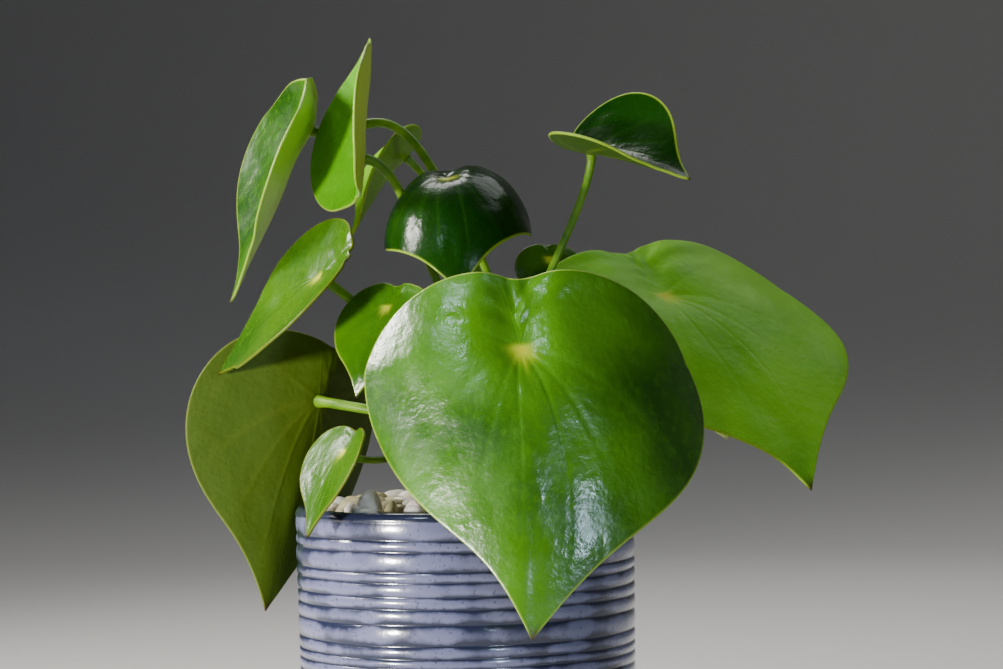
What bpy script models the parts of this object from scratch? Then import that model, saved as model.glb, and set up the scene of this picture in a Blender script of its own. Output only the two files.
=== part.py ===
"""Potted peperomia: teardrop leaves on round petioles, in a small hand-thrown glazed pot.

Metres, +Z up. The origin is the centre of the pot's base, and -Y is the plant's front.
Sizes below are in millimetres and degrees, and become metres where meshes are made.
"""
import math
import random
from typing import NamedTuple

import bmesh
import bpy
import numpy as np
from mathutils import Matrix, Vector

MM = 0.001
TOUCH_GAP = 0.3

# Pot: a thrown wall with a spiral of shallow rings
POT_RADIUS = 48.0
POT_HEIGHT = 88.0
POT_WALL = 4.0
POT_FOOT_RADIUS = 39.0
POT_FLOOR = 6.0
POT_TAPER = 1.6            # how much narrower the wall is by its foot
FOOT_ROUNDING = 6.0        # height over which the wall rounds in to the foot
INNER_CORNER = (1.5, 8.0)  # the inner corner's step in and rise
LIP_RADIUS = 2.2
RING_DEPTH = 0.6
VISIBLE_RINGS = (1.1, 7.3, 10.3, 15.9, 18.6, 22.5, 25.8, 29.9, 35.6, 39.0, 41.6)
RING_PITCH = 3.9
RING_WANDER = 0.7
LOWEST_RING = 80.0
TURNED_SIDES = 36

# Soil, and the plain hole in it that the stem stands in
SOIL_TOP = 83.5
SOIL_EDGE_DROP = 2.0
HOLE_DEPTH = 22.0

# Gravel: one bed of pebbles, sunk in a thin layer
GRAVEL_LAYER = 3.4
GRAVEL_HOLE = 1.5              # room between the layer and the stem
PEBBLE_SIZE = 8.4
PEBBLE_SPREAD = (0.85, 1.2)    # smallest and largest, against the usual size
PEBBLE_WIDTH = (0.75, 0.95)    # width against length
PEBBLE_THICKNESS = 0.62        # thickness against length
PEBBLE_TILT = 0.35             # radians
PEBBLE_RISE = (0.6, 1.8)       # middle of a pebble above the layer
PEBBLE_STEP = 8.2
PEBBLE_SHIFT = 1.4
PEBBLE_ROOM = 4.8              # from the stem to the nearest pebble's middle
PEBBLE_SEED = 11
UPRIGHT_PEBBLES = (            # place, then width, height and turn in degrees
    ((-25.5, -29.5), 6.6, 11.0, 20),
    ((-19.5, -33.5), 6.2, 8.0, 70),
    ((-13.0, -34.5), 6.8, 7.5, 130),
    ((-31.0, -25.5), 6.0, 7.0, 100),
)

# Stem and petioles
STEM_RADIUS = 4.6
STEM_TOP_RADIUS = 3.4
STEM_FOOT = SOIL_TOP - HOLE_DEPTH + TOUCH_GAP
STEM_ROUTE = ((0, 0, STEM_FOOT), (0, 0, 84), (1.2, 0.5, 93), (7.5, 2.8, 108), (14, 4, 126))
TUBE_ROUNDNESS = 2
STUB_RADIUS = 2.3
STUB_TAPER = 1.1            # a stub's end against its petiole
STUB_REACH = 6.6
PETIOLE_RADIUS = 0.75
PETIOLE_THICKENING = 0.0125  # growth of that radius for each millimetre of leaf
PETIOLE_ROOM = 0.5           # from its end to the blade over it, which curves down round it
PETIOLE_STEP = 7.0
PETIOLE_PULL = 3.0          # strength of the first direction
PETIOLE_ARRIVAL = 0.6       # strength of the direction into the blade

# Leaf blades, with lengths as shares of the span from petiole to tip
BLADE_THICKNESS = 1.3
BLADE_RINGS = 4
BLADE_SIDES = 26
DIMPLE_WIDTH = 0.1
FOLD_WIDTH = 0.1
HALF_WIDTH = 0.58
TIP_WARP = 0.35
BACK_DROOP = 3.0
BEND_STEPS = 16


class Leaf(NamedTuple):
    """One leaf: where its blade sits on the petiole, how it points and how it bends."""

    name: str
    at: tuple          # place of the petiole's end on the blade, mm
    span: float        # petiole to tip, mm
    heading: float     # compass turn of the tip about Z from +X, degrees
    rise: float        # tip above the horizontal, degrees
    roll: float        # turn about the midrib, degrees
    fold: float        # rise of both halves from a crease at the midrib, degrees
    curl: float        # further rise of the halves by their margins, degrees
    arch: float        # droop of the midrib from petiole to tip, degrees
    back: float        # droop of the lobes behind the petiole, degrees
    wide: float        # width against the plain outline
    uneven: float      # how much wider the half on the blade's left is than the other
    sway: float        # sideways bow of the blade between petiole and tip, in spans
    dimple: float      # depth of the hollow over the petiole, mm
    point: float       # length of the drawn-out tip against the plain outline's
    node: float        # height on the stem where the petiole leaves it, mm
    bearing: float     # compass turn of the petiole where it leaves the stem, degrees
    lift: float        # rise of the petiole where it leaves the stem, degrees
    reach: float       # how far the petiole keeps its first direction, against its chord


LEAVES = (
    Leaf(
        "a", (16.5, -49, 131.5), 77.5, -87, -69, 2, 0, -42,
        20, 0, 1.12, -0.05, -0.06, 3, 1, 117, -87, 30, 0.5,
    ),
    Leaf(
        "b", (58.8, 15.5, 145.8), 79, -51, -40, 8, 0, -16,
        10, 5, 1.06, 0, -0.07, 2.5, 1, 117, 15, 10, 0.45,
    ),
    Leaf("c", (-43.5, 18, 196.3), 55, -178, -65.5, -12, 15, 8, 0, -58, 1, 0, 0, 1, 1, 124.5, 150, 72, 1.2),
    Leaf("d", (-27.2, -9.5, 185.8), 47, 79, 67, -61, 18, 8, 2, 0, 0.9, 0, 0, 1, 0.4, 120, 175, 50, 0.4),
    Leaf(
        "e", (-2.5, -17.5, 179), 39, -90, -24, 8, 0, -63,
        76, 20, 1.36, -0.05, 0, 1.5, 1, 125, -100, 70, 0.4,
    ),
    Leaf("f", (38, -4.5, 187), 33, -35, -13, 17, 34, 5, 10, 0, 1.05, -0.12, 0, 1, 1, 121.5, -74, 42, 0.36),
    Leaf("g", (-39, -14.5, 152.6), 54, 136, -28, -53, 15, 0, 8, 0, 0.72, -0.16, 0, 1, 1, 114, 172, 35, 0.4),
    Leaf("h", (-43, 27, 117), 63, -158, -72, 80, 28, 0, 10, 5, 0.87, -0.115, 0, 1, 1, 108, 160, 10, 0.4),
    Leaf("i", (-32, -34.5, 104.5), 25, -155, -60, -5, 10, 0, 10, 5, 1, 0, 0, 0.8, 1, 104, -135, 0, 0.4),
    Leaf("j", (-20, -24, 143.5), 27.3, -130, -58, -5, 0, -10, 10, 5, 1, 0, 0, 0.8, 1, 110.5, -135, 40, 0.4),
    Leaf("k", (-16.7, 41, 189.3), 29.2, -160, -50, 10, 24, 0, 10, 5, 1, 0, 0, 0.8, 1, 120, 115, 55, 0.4),
    Leaf("l", (26, 27, 157.5), 17, -80, -60, 0, 0, -20, 20, 10, 1.05, 0, 0, 0.6, 1, 120, 70, 25, 0.4),
    Leaf("m", (44.5, 46.5, 133), 58, 40, -25, 0, 0, -30, 20, 10, 1.05, 0, 0, 2, 1, 111, 55, 15, 0.4),
    Leaf("n", (4, 47, 125), 50, 95, -50, 0, 0, -28, 20, 10, 1.05, 0, 0, 2, 1, 107, 105, 20, 0.4),
)


def clear_scene():
    for thing in list(bpy.data.objects):
        bpy.data.objects.remove(thing, do_unlink=True)


def collection(name):
    made = bpy.data.collections.new(name)
    bpy.context.scene.collection.children.link(made)
    return made


def material(name, colour, roughness):
    made = bpy.data.materials.new(name)
    made.use_nodes = True
    shader = made.node_tree.nodes["Principled BSDF"]
    shader.inputs["Base Color"].default_value = (*colour, 1.0)
    shader.inputs["Roughness"].default_value = roughness
    shader.inputs["Metallic"].default_value = 0.0
    return made


def mesh_object(name, bm, group, finish):
    """A new object from a bmesh, in metres, with one material."""
    bmesh.ops.recalc_face_normals(bm, faces=bm.faces)
    mesh = bpy.data.meshes.new(name)
    bm.to_mesh(mesh)
    bm.free()
    mesh.materials.append(finish)
    made = bpy.data.objects.new(name, mesh)
    group.objects.link(made)
    return made


def turned(name, profile, group, finish):
    """A turned solid from (radius, height) points in mm, whose outer side runs top to bottom."""
    mesh = bpy.data.meshes.new(name)
    places = [(radius * MM, 0.0, height * MM) for radius, height in profile]
    mesh.from_pydata(places, [(i, i + 1) for i in range(len(places) - 1)], [])
    mesh.materials.append(finish)
    made = bpy.data.objects.new(name, mesh)
    group.objects.link(made)
    screw = made.modifiers.new("Turn", "SCREW")
    screw.axis = "Z"
    screw.steps = TURNED_SIDES
    screw.render_steps = TURNED_SIDES
    screw.use_merge_vertices = True
    screw.merge_threshold = 0.00001
    screw.use_smooth_shade = True
    return made


def wall_radius(height):
    """Outer radius of the pot without its rings: a slight barrel that rounds in to the foot."""
    share = height / POT_HEIGHT
    belly = POT_RADIUS - POT_TAPER * (1.0 - share) ** 2
    rounding = math.exp(-height / FOOT_ROUNDING)
    return belly - (belly - POT_FOOT_RADIUS) * rounding


def ring_heights():
    """Heights of the ring grooves, those seen near the rim and then evenly on down."""
    depths = list(VISIBLE_RINGS)
    while depths[-1] + RING_PITCH < LOWEST_RING:
        wander = RING_WANDER * math.sin(2.1 * len(depths))
        depths.append(depths[-1] + RING_PITCH + wander)
    return [POT_HEIGHT - depth for depth in depths]


def pot_profile():
    """Inner floor, inner wall, round lip, ringed outer wall and flat base."""
    inner = POT_RADIUS - POT_WALL
    step, rise = INNER_CORNER
    points = [(0.0, POT_FLOOR), (POT_FOOT_RADIUS - POT_WALL, POT_FLOOR)]
    points.append((inner - step, POT_FLOOR + rise))
    points.append((inner, POT_HEIGHT / 2))
    points.append((inner, POT_HEIGHT - LIP_RADIUS))
    for turn in (45, 90, 135):
        across = -math.cos(math.radians(turn))
        up = math.sin(math.radians(turn))
        middle = POT_RADIUS - POT_WALL / 2
        points.append((middle + POT_WALL / 2 * across, POT_HEIGHT - LIP_RADIUS * (1.0 - up)))
    heights = ring_heights()
    for upper, lower in zip(heights, heights[1:] + [POT_HEIGHT - LOWEST_RING]):
        points.append((wall_radius(upper) - RING_DEPTH, upper))
        ridge = (upper + lower) / 2
        points.append((wall_radius(ridge), ridge))
    points.append((wall_radius(FOOT_ROUNDING / 2), FOOT_ROUNDING / 2))
    points.append((POT_FOOT_RADIUS, 0.0))
    points.append((0.0, 0.0))
    return points


def soil_height(radius):
    """Height of the mounded soil at a distance from the middle."""
    return SOIL_TOP - SOIL_EDGE_DROP * (radius / POT_RADIUS) ** 2


def soil_profile():
    """The stem's hole, the mounded top, the side inside the pot's wall and the underside."""
    hole = STEM_RADIUS + TOUCH_GAP
    side = POT_RADIUS - POT_WALL - TOUCH_GAP
    floor = POT_FLOOR + TOUCH_GAP
    step, rise = INNER_CORNER
    return [
        (0.0, SOIL_TOP - HOLE_DEPTH),
        (hole, SOIL_TOP - HOLE_DEPTH),
        (hole, soil_height(hole)),
        (side / 2, soil_height(side / 2)),
        (side, soil_height(side)),
        (side, POT_HEIGHT / 2),
        (side - step, floor + rise),
        (POT_FOOT_RADIUS - POT_WALL - TOUCH_GAP, floor),
        (0.0, floor),
    ]


def gravel_profile():
    """A thin ring that follows the soil's top, with a clear middle for the stem."""
    side = POT_RADIUS - POT_WALL - TOUCH_GAP
    radii = (STEM_RADIUS + GRAVEL_HOLE, side / 2, side)
    lower = [(radius, soil_height(radius) + TOUCH_GAP) for radius in radii]
    upper = [(radius, height + GRAVEL_LAYER) for radius, height in lower]
    return upper + lower[::-1] + upper[:1]


def pebble_places(spread):
    """Staggered rows of places in a disc with a clear middle, each moved a little."""
    places = []
    rows = int(spread / PEBBLE_STEP) + 1
    for row in range(-rows, rows + 1):
        for column in range(-rows, rows + 1):
            x = (column + 0.5 * (row % 2)) * PEBBLE_STEP
            y = row * PEBBLE_STEP * math.sqrt(0.75)
            x += random.uniform(-PEBBLE_SHIFT, PEBBLE_SHIFT)
            y += random.uniform(-PEBBLE_SHIFT, PEBBLE_SHIFT)
            if STEM_RADIUS + PEBBLE_ROOM < math.hypot(x, y) < spread:
                places.append((x, y))
    return places


def pebble(place, base):
    """One angular pebble, an icosahedron squashed and turned at random."""
    bm = bmesh.new()
    bmesh.ops.create_icosphere(bm, subdivisions=1, radius=1.0)
    half = PEBBLE_SIZE * random.uniform(*PEBBLE_SPREAD) / 2
    shape = Matrix.Diagonal((half, half * random.uniform(*PEBBLE_WIDTH), half * PEBBLE_THICKNESS))
    turn = Matrix.Rotation(random.uniform(0.0, math.tau), 3, "Z")
    tilt = Matrix.Rotation(random.uniform(-PEBBLE_TILT, PEBBLE_TILT), 3, "X")
    height = base + random.uniform(*PEBBLE_RISE)
    for vertex in bm.verts:
        vertex.co = (turn @ tilt @ shape @ vertex.co + Vector((*place, height))) * MM
    return bm


def upright_pebble(width, height, turn, foot):
    """One pebble that stands on its end in the layer, with its middle above the foot."""
    bm = bmesh.new()
    bmesh.ops.create_icosphere(bm, subdivisions=1, radius=1.0)
    shape = Matrix.Diagonal((width / 2, width * PEBBLE_THICKNESS / 2, height / 2))
    spin = Matrix.Rotation(math.radians(turn), 3, "Z")
    middle = foot + Vector((0.0, 0.0, height / 2))
    for vertex in bm.verts:
        vertex.co = (spin @ shape @ vertex.co + middle) * MM
    return bm


def fused(base, repeats):
    """Join every repeat in a collection to the base, and drop the repeats."""
    join = base.modifiers.new("Fuse", "BOOLEAN")
    join.operation = "UNION"
    join.operand_type = "COLLECTION"
    join.collection = repeats
    join.solver = "EXACT"
    evaluated = base.evaluated_get(bpy.context.evaluated_depsgraph_get())
    mesh = bpy.data.meshes.new_from_object(evaluated)
    base.modifiers.clear()
    base.data = mesh
    for thing in list(repeats.objects):
        bpy.data.objects.remove(thing, do_unlink=True)
    bpy.data.collections.remove(repeats)
    return base


def make_gravel(group):
    """A thin layer over the soil with its pebbles fused on."""
    random.seed(PEBBLE_SEED)
    finish = material("Gravel", (0.52, 0.47, 0.40), 0.6)
    bed = turned("gravel", gravel_profile(), group, finish)
    repeats = collection("Pebbles")
    spread = POT_RADIUS - POT_WALL - 0.6 * PEBBLE_SIZE
    for index, place in enumerate(pebble_places(spread)):
        bed_height = soil_height(math.hypot(*place)) + TOUCH_GAP + GRAVEL_LAYER
        mesh_object(f"pebble_{index}", pebble(place, bed_height), repeats, finish)
    for place, width, height, turn in UPRIGHT_PEBBLES:
        foot = Vector((*place, soil_height(math.hypot(*place)) + 2 * TOUCH_GAP))
        mesh_object("upright_pebble", upright_pebble(width, height, turn, foot), repeats, finish)
    return fused(bed, repeats)


def tube(name, route, radii, group, finish):
    """A round tube with flat ends along points in mm."""
    curve = bpy.data.curves.new(name, "CURVE")
    curve.dimensions = "3D"
    curve.bevel_depth = MM
    curve.bevel_resolution = TUBE_ROUNDNESS
    curve.use_fill_caps = True
    line = curve.splines.new("POLY")
    line.points.add(len(route) - 1)
    for point, place, radius in zip(line.points, route, radii):
        point.co = (*(Vector(place) * MM), 1.0)
        point.radius = radius
    curve.materials.append(finish)
    made = bpy.data.objects.new(name, curve)
    group.objects.link(made)
    return made


def meshed(made, group):
    """The same object as a mesh with its caps welded on."""
    evaluated = made.evaluated_get(bpy.context.evaluated_depsgraph_get())
    mesh = bpy.data.meshes.new_from_object(evaluated)
    bm = bmesh.new()
    bm.from_mesh(mesh)
    bmesh.ops.remove_doubles(bm, verts=bm.verts, dist=0.00001)
    bm.to_mesh(mesh)
    bm.free()
    name = made.name
    place = made.matrix_world.copy()
    bpy.data.objects.remove(made, do_unlink=True)
    solid = bpy.data.objects.new(name, mesh)
    solid.matrix_world = place
    group.objects.link(solid)
    return solid


def stem_at(height):
    """The stem's centre line at a height, by straight runs between its route's points."""
    for lower, upper in zip(STEM_ROUTE, STEM_ROUTE[1:]):
        if height <= upper[2]:
            share = (height - lower[2]) / (upper[2] - lower[2])
            return Vector(lower).lerp(Vector(upper), share)
    return Vector(STEM_ROUTE[-1])


def petiole_radius(leaf):
    """A longer leaf has a thicker petiole."""
    return PETIOLE_RADIUS + PETIOLE_THICKENING * leaf.span


def petiole_start(leaf):
    """Where a petiole's stub leaves the stem, and its direction."""
    bearing, lift = math.radians(leaf.bearing), math.radians(leaf.lift)
    level = Vector((math.cos(bearing), math.sin(bearing), 0.0))
    return stem_at(leaf.node), level * math.cos(lift) + Vector((0.0, 0.0, math.sin(lift)))


def petiole_route(leaf):
    """A smooth route from the stub to the blade's underside, which it meets square on."""
    root, direction = petiole_start(leaf)
    start = root + direction * (STUB_REACH + TOUCH_GAP)
    normal = blade_frame(leaf).col[2]
    end = Vector(leaf.at) - normal * (BLADE_THICKNESS + PETIOLE_ROOM)
    chord = (end - start).length
    leave = direction * chord * leaf.reach * PETIOLE_PULL
    arrive = normal * chord * PETIOLE_ARRIVAL
    steps = max(4, round(chord / PETIOLE_STEP))
    route = []
    for step in range(steps + 1):
        t = step / steps
        route.append(
            start * (1 + 2 * t) * (1 - t) ** 2
            + leave * t * (1 - t) ** 2
            + end * t * t * (3 - 2 * t)
            + arrive * t * t * (t - 1)
        )
    return route


def make_stem(group, finish):
    """The upright stem with a short stub for each petiole."""
    radii = np.linspace(STEM_RADIUS, STEM_TOP_RADIUS, len(STEM_ROUTE))
    stem = meshed(tube("stem", STEM_ROUTE, radii, group, finish), group)
    stubs = collection("Stubs")
    for leaf in LEAVES:
        root, direction = petiole_start(leaf)
        route = (root, root + direction * STUB_REACH)
        ends = (STUB_RADIUS, petiole_radius(leaf) * STUB_TAPER)
        meshed(tube(f"stub_{leaf.name}", route, ends, stubs, finish), stubs)
    return fused(stem, stubs)


def outline_radius(theta, point):
    """Teardrop outline about the petiole, as a share of the span, theta 0 at the tip."""
    lobe = 0.513 + 0.2 * np.cos(theta) - 0.042 * np.cos(2 * theta)
    tip = 0.329 * point * np.exp(-np.abs(theta) / 0.19)
    sinus = 0.015 * np.exp(-(((math.pi - np.abs(theta)) / 0.2) ** 2))
    return lobe + tip - sinus


def bent(distance, slope):
    """Travel along and up for a line with the given slope, summed over short steps."""
    steps = (np.arange(BEND_STEPS) + 0.5) / BEND_STEPS
    angles = slope(distance[:, None] * steps)
    return distance * np.cos(angles).mean(axis=1), distance * np.sin(angles).mean(axis=1)


def blade_frame(leaf):
    """Axes of the blade at the petiole: across, toward the tip, and up from the upper face."""
    heading, rise, roll = (math.radians(angle) for angle in (leaf.heading, leaf.rise, leaf.roll))
    tip = Vector((math.cos(heading) * math.cos(rise), math.sin(heading) * math.cos(rise), math.sin(rise)))
    up = (Vector((0.0, 0.0, 1.0)) - tip * tip.z).normalized()
    across = tip.cross(up)
    rolled_up = up * math.cos(roll) + across * math.sin(roll)
    rolled_across = across * math.cos(roll) - up * math.sin(roll)
    return Matrix((rolled_across, tip, rolled_up)).transposed()


def blade_surface(leaf, flat):
    """Bend flat points of a unit disc into the blade's upper face, in mm about the petiole.

    The disc becomes the teardrop outline. Its halves rise from the midrib by the fold and
    curl, its midrib droops by the arch, its lobes by the back, and it dips over the petiole.
    """
    share = np.hypot(flat[:, 0], flat[:, 1])
    turn = np.arctan2(flat[:, 0], flat[:, 1])
    theta = turn - TIP_WARP * np.sin(2 * turn)
    reach = share * outline_radius(theta, leaf.point)
    along = reach * np.cos(theta)
    across = reach * np.sin(theta) * leaf.wide
    across = across * (1 + leaf.uneven * np.sign(across))
    fold, curl, arch, back = (math.radians(a) for a in (leaf.fold, leaf.curl, leaf.arch, leaf.back))
    side, lift = bent(
        np.abs(across),
        lambda s: fold * (1 - np.exp(-s / FOLD_WIDTH)) + curl * s / HALF_WIDTH,
    )
    spine, drop = bent(along, lambda s: np.where(s > 0, arch * s, back * s * BACK_DROOP))
    slope = np.where(along > 0, arch * along, back * along * BACK_DROOP)
    hollow = np.exp(-(across**2 + np.maximum(along, 0) ** 2) / DIMPLE_WIDTH**2)
    raised = lift * leaf.span + leaf.dimple * (1 - hollow)
    bow = leaf.sway * np.sin(math.pi * np.clip(along, 0, 1))
    return np.column_stack((
        (np.sign(across) * side + bow) * leaf.span,
        spine * leaf.span + raised * np.sin(slope),
        -drop * leaf.span + raised * np.cos(slope),
    ))


def flat_disc():
    """A unit disc of rings, a radial line spun round and split into triangles."""
    bm = bmesh.new()
    line = [bm.verts.new((0.0, i / BLADE_RINGS, 0.0)) for i in range(BLADE_RINGS + 1)]
    edges = [bm.edges.new(pair) for pair in zip(line, line[1:])]
    bmesh.ops.spin(bm, geom=line + edges, axis=(0, 0, 1), angle=math.tau, steps=BLADE_SIDES)
    bmesh.ops.remove_doubles(bm, verts=bm.verts, dist=0.0001)
    bmesh.ops.triangulate(bm, faces=bm.faces)
    bmesh.ops.recalc_face_normals(bm, faces=bm.faces)
    if sum(face.normal.z for face in bm.faces) < 0:
        bmesh.ops.reverse_faces(bm, faces=bm.faces)
    return bm


def make_blade(leaf, group, finish):
    """One leaf blade: the shaped disc, thickened away from its upper face."""
    bm = flat_disc()
    flat = np.array([vertex.co[:] for vertex in bm.verts])
    frame = np.array(blade_frame(leaf))
    places = blade_surface(leaf, flat) @ frame.T + np.array(leaf.at)
    for vertex, place in zip(bm.verts, places):
        vertex.co = Vector(place) * MM
    mesh = bpy.data.meshes.new(f"leaf_{leaf.name}")
    bm.to_mesh(mesh)
    bm.free()
    mesh.materials.append(finish)
    mesh.shade_smooth()
    made = bpy.data.objects.new(f"leaf_{leaf.name}", mesh)
    group.objects.link(made)
    thicken = made.modifiers.new("Thickness", "SOLIDIFY")
    thicken.thickness = BLADE_THICKNESS * MM
    thicken.offset = -1.0
    return made


def make_pot(group):
    glaze = material("Blue grey glaze", (0.30, 0.31, 0.40), 0.25)
    return turned("pot", pot_profile(), group, glaze)


def make_soil(group):
    earth = material("Potting soil", (0.035, 0.025, 0.018), 0.95)
    return turned("soil", soil_profile(), group, earth)


def make_plant(group):
    """The stem, then each leaf's petiole and blade."""
    stalk = material("Petiole green", (0.30, 0.42, 0.08), 0.4)
    green = material("Leaf green", (0.07, 0.26, 0.03), 0.3)
    make_stem(group, stalk)
    for leaf in LEAVES:
        route = petiole_route(leaf)
        tube(f"petiole_{leaf.name}", route, [petiole_radius(leaf)] * len(route), group, stalk)
        make_blade(leaf, group, green)


def main():
    clear_scene()
    group = collection("Potted peperomia")
    make_pot(group)
    make_soil(group)
    make_gravel(group)
    make_plant(group)


main()
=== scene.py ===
"""Looks of the potted peperomia: glossy teardrop leaves, petioles, gravel and a thrown, glazed pot.

Sizes are in millimetres and degrees, and become metres where a mesh is made. The origin is the
centre of the pot's base, +Z is up and -Y is the plant's front.
"""

import logging
import math
import random
from dataclasses import dataclass, field
from enum import Enum
from typing import Callable

import bpy
import numpy as np
from mathutils import Matrix


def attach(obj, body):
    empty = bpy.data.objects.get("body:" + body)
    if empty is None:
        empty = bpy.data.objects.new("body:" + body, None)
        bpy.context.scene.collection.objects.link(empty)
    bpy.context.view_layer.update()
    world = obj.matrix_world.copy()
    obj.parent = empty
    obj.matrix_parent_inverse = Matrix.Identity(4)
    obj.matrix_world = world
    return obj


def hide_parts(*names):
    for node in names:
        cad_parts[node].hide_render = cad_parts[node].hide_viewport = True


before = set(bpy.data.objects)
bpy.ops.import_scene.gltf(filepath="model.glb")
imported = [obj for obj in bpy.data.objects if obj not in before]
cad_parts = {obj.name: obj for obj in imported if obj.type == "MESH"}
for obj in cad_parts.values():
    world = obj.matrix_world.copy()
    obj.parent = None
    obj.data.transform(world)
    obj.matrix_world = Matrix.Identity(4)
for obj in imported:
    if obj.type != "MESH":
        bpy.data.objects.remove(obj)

LOG = logging.getLogger("peperomia")
MM = 0.001
Colour = tuple[float, float, float]
Point = tuple[float, float, float]
Mesh = tuple[np.ndarray, list[list[int]]]
Socket = bpy.types.NodeSocket

# Driving sizes, as in the solids
POT_RADIUS = 48.0
POT_HEIGHT = 88.0
POT_WALL = 4.0
POT_FLOOR = 6.0
POT_FOOT_RADIUS = 39.0
STEM_RADIUS = 4.6
BLADE_THICKNESS = 1.3
TOUCH_GAP = 0.3

# Depth in metres that light reaches in leaves and petioles
GLOW_DEPTH = 0.002

# Outline of a blade, as shares of its span: mean radius and its first two cosines, the tip
# and its fade in radians, and the notch behind the petiole with its width in radians
LOBE = (0.513, 0.2, -0.042)
TIP = 0.329
TIP_FADE = 0.19
NOTCH = 0.015
NOTCH_WIDTH = 0.2


class StageAndLight(Enum):
    """Greens for a leaf: grown and young are its own; the others are darkened as painted shade or
    lightened as painted light.
    """

    GROWN = "grown"
    YOUNG = "young"
    SHADED_DOME = "shaded_dome"
    SOFT = "soft"
    SHADED = "shaded"


class Stone(Enum):
    """The kinds of pebble in the gravel, each with its own colour."""

    WHITE = (0.78, 0.72, 0.66)
    GREY = (0.36, 0.36, 0.34)
    OLIVE = (0.24, 0.22, 0.10)
    PINK = (0.66, 0.50, 0.46)
    SAND = (0.50, 0.42, 0.30)


# Helpers for numbers and meshes


def smooth_step(value: np.ndarray, low: float, high: float) -> np.ndarray:
    """A smooth rise from 0 at low to 1 at high: 3t squared less 2t cubed."""
    share = np.clip((value - low) / (high - low), 0.0, 1.0)
    return share * share * (3.0 - 2.0 * share)


def unit(vectors: np.ndarray) -> np.ndarray:
    """Vectors divided by their own lengths, along the last axis."""
    return vectors / np.maximum(np.linalg.norm(vectors, axis=-1, keepdims=True), 1e-9)


def bell(value: np.ndarray, width: float) -> np.ndarray:
    """A bell that is 1 at 0 and falls off over a width."""
    return np.exp(-((value / width) ** 2))


def round_turns(count: int) -> np.ndarray:
    """Evenly spaced turns of a full circle, in radians from 0."""
    return np.arange(count) * math.tau / count


def way_to(bearing: float, rise: float) -> np.ndarray:
    """Unit vector at a bearing from +X and a rise above level, both in degrees."""
    turn, lift = math.radians(bearing), math.radians(rise)
    level = math.cos(lift)
    return np.array((math.cos(turn) * level, math.sin(turn) * level, math.sin(lift)))


def turned(radius: np.ndarray, height: np.ndarray, turn: np.ndarray) -> np.ndarray:
    """Places at a radius and a turn about the upright axis, at a height."""
    places = (radius * np.cos(turn), radius * np.sin(turn), height)
    return np.stack(np.broadcast_arrays(*places), axis=-1)


def ripple(points: np.ndarray, wavelength: float, seed: int, waves: int = 10) -> np.ndarray:
    """Smooth seeded noise: the mean of sine waves that cross in random directions.

    Args:
        points: Places, with any number of axes before the last one.
        wavelength: Typical distance from crest to crest, in the points' units.
        seed: Start of the random draw.
        waves: Number of sine waves.

    Returns:
        One value for each place, mostly between -1 and 1.
    """
    draw = np.random.default_rng(seed)
    ways = unit(draw.normal(size=(waves, points.shape[-1])))
    numbers = math.tau / (wavelength * draw.uniform(0.7, 1.5, waves))
    phases = draw.uniform(0.0, math.tau, waves)
    return np.sin(points @ (ways * numbers[:, None]).T + phases).mean(axis=-1) * math.sqrt(waves / 2)


def grid_faces(rows: int, columns: int) -> np.ndarray:
    """Quads of a grid whose columns close on themselves."""
    row = np.arange(rows - 1)[:, None] * columns
    column = np.arange(columns)[None, :]
    beside = (column + 1) % columns
    corners = (row + column, row + beside, row + columns + beside, row + columns + column)
    return np.stack(corners, axis=-1).reshape(-1, 4)


def closed_grid(places: np.ndarray) -> Mesh:
    """A closed skin from rows of places, with a pole at the middle of its first and last row.

    Args:
        places: Array of rows, columns and 3, whose columns go round.

    Returns:
        The vertices, poles last, and the faces: quads between the rows and a fan at each pole.
    """
    rows, columns = places.shape[:2]
    first, last = places[0].mean(axis=0), places[-1].mean(axis=0)
    vertices = np.vstack((places.reshape(-1, 3), first, last))
    start, end = rows * columns, rows * columns + 1
    around = np.arange(columns)
    beside = (around + 1) % columns
    base = (rows - 1) * columns
    faces = grid_faces(rows, columns).tolist()
    faces += np.column_stack((beside, around, np.full(columns, start))).tolist()
    faces += np.column_stack((base + around, base + beside, np.full(columns, end))).tolist()
    return vertices, faces


def joined(parts: list[Mesh]) -> Mesh:
    """The vertices and faces of several meshes as one."""
    faces: list[list[int]] = []
    count = 0
    for places, corners in parts:
        faces += [[count + corner for corner in face] for face in corners]
        count += len(places)
    return np.vstack([places for places, _ in parts]), faces


def make_piece(
    name: str,
    mesh: Mesh,
    finish: bpy.types.Material,
    values: dict[str, np.ndarray] | None = None,
) -> bpy.types.Object:
    """A smooth mesh object at the origin from places in millimetres.

    Args:
        name: The piece's name.
        mesh: Its vertices in millimetres and the corner numbers of its faces.
        finish: Its material.
        values: Float attributes by name, with one value for each vertex.

    Returns:
        The new object, linked to the scene.
    """
    vertices, faces = mesh
    data = bpy.data.meshes.new(name)
    data.from_pydata((vertices * MM).tolist(), [], faces)
    for label, numbers in (values or {}).items():
        layer = data.attributes.new(label, "FLOAT", "POINT")
        layer.data.foreach_set("value", np.ascontiguousarray(numbers, dtype=np.float32))
    data.materials.append(finish)
    data.shade_smooth()
    data.update()
    made = bpy.data.objects.new(name, data)
    bpy.context.scene.collection.objects.link(made)
    return made


def mount_piece(piece: bpy.types.Object, node: str) -> None:
    """Let a piece ride on the root and stand for its solid, and report it."""
    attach(piece, "root")
    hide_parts(node)
    LOG.info("%s: %d faces", piece.name, len(piece.data.polygons))


# Materials


@dataclass(frozen=True)
class Cloud:
    """A layer of noise: features a metre, its detail, and the range it maps from and to."""

    scale: float
    detail: float
    low: float
    high: float
    start: float = 0.0
    end: float = 1.0
    roughness: float = 0.5


@dataclass(frozen=True)
class Relief:
    """A layer of bumps: features a metre, their detail, height in metres and strength."""

    scale: float
    detail: float
    height: float
    strength: float
    roughness: float = 0.5


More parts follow.
